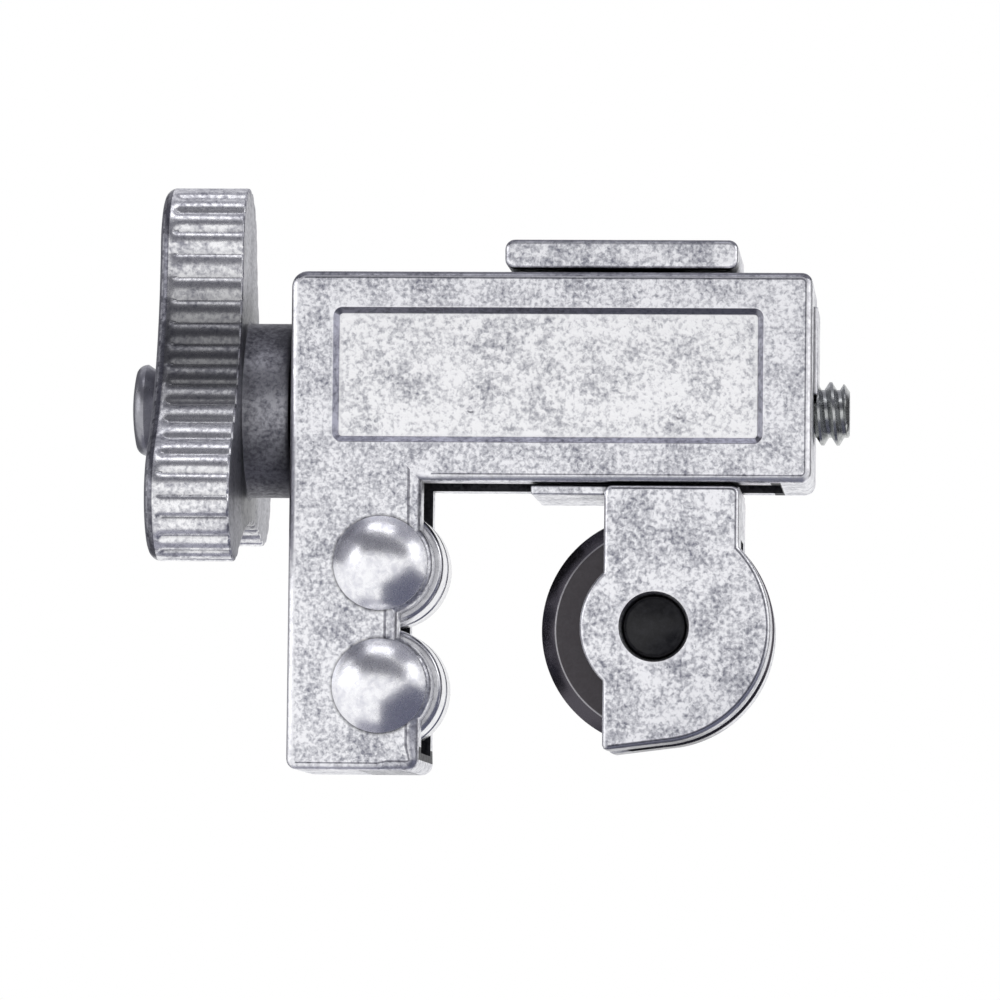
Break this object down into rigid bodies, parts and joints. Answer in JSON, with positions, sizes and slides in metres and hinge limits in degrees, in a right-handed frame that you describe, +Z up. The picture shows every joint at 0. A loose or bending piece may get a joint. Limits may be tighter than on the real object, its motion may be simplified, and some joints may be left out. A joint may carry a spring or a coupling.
{
  "type": "mini tube cutter",
  "caption": "Hand tube cutter with a screw-fed black cutter wheel between cheeks, grooved rollers in the leg and a fluted lobed knob.",
  "frame": {"origin": "centre of the foot: underside of the leg, on the middle plane of the frame", "axes": "+X along the arm and the feed screw, from the knob to the screw's tip; +Y from the front with the sunk panel to the back; +Z up, from the foot to the guide bar"},
  "size_m": [0.0587, 0.0329, 0.0478],
  "materials": {
    "zinc_casting": "as-cast zinc alloy, light grey, satin",
    "knob_casting": "cast zinc alloy, darker grey, with bright worn ribs",
    "bright_steel": "turned steel, bright",
    "polished_steel": "polished domed rivet heads",
    "black_steel": "hardened steel with a black finish",
    "screw_steel": "turned steel, dark grey"
  },
  "bodies": {
    "frame_body": {"frame": "zinc_casting", "upper_roller_pin": "polished_steel", "lower_roller_pin": "polished_steel"},
    "upper_roller_body": {"upper_roller": "bright_steel"},
    "lower_roller_body": {"lower_roller": "bright_steel"},
    "carriage_body": {"carriage": "zinc_casting", "guide_bar": "zinc_casting", "guide_bar_rivets": "bright_steel", "wheel_axle": "black_steel"},
    "wheel_body": {"cutter_wheel": "black_steel"},
    "feed_body": {"feed_screw": "screw_steel", "retaining_ring": "screw_steel", "knob": "knob_casting"}
  },
  "joints": [
    {"name": "knob_turn", "type": "hinge", "parent": "frame_body", "child": "feed_body", "pos_m": [-0.00535, 0, 0.0296], "axis": [1, 0, 0], "range_deg": [-2131, 2303]},
    {"name": "carriage_slide", "type": "slide", "parent": "frame_body", "child": "carriage_body", "axis": [1, 0, 0], "range_m": [-0.008, 0.0074]},
    {"name": "upper_roller_spin", "type": "hinge", "parent": "frame_body", "child": "upper_roller_body", "pos_m": [0.00215, 0, 0.0167], "axis": [0, 1, 0], "continuous": true},
    {"name": "lower_roller_spin", "type": "hinge", "parent": "frame_body", "child": "lower_roller_body", "pos_m": [0.00215, 0, 0.0068], "axis": [0, 1, 0], "continuous": true},
    {"name": "wheel_spin", "type": "hinge", "parent": "carriage_body", "child": "wheel_body", "pos_m": [0.02425, 0, 0.01175], "axis": [0, 1, 0], "continuous": true}
  ],
  "couplings": [
    {"joint": "carriage_slide", "follows": "knob_turn", "m_per_rad": -0.00019894}
  ]
}
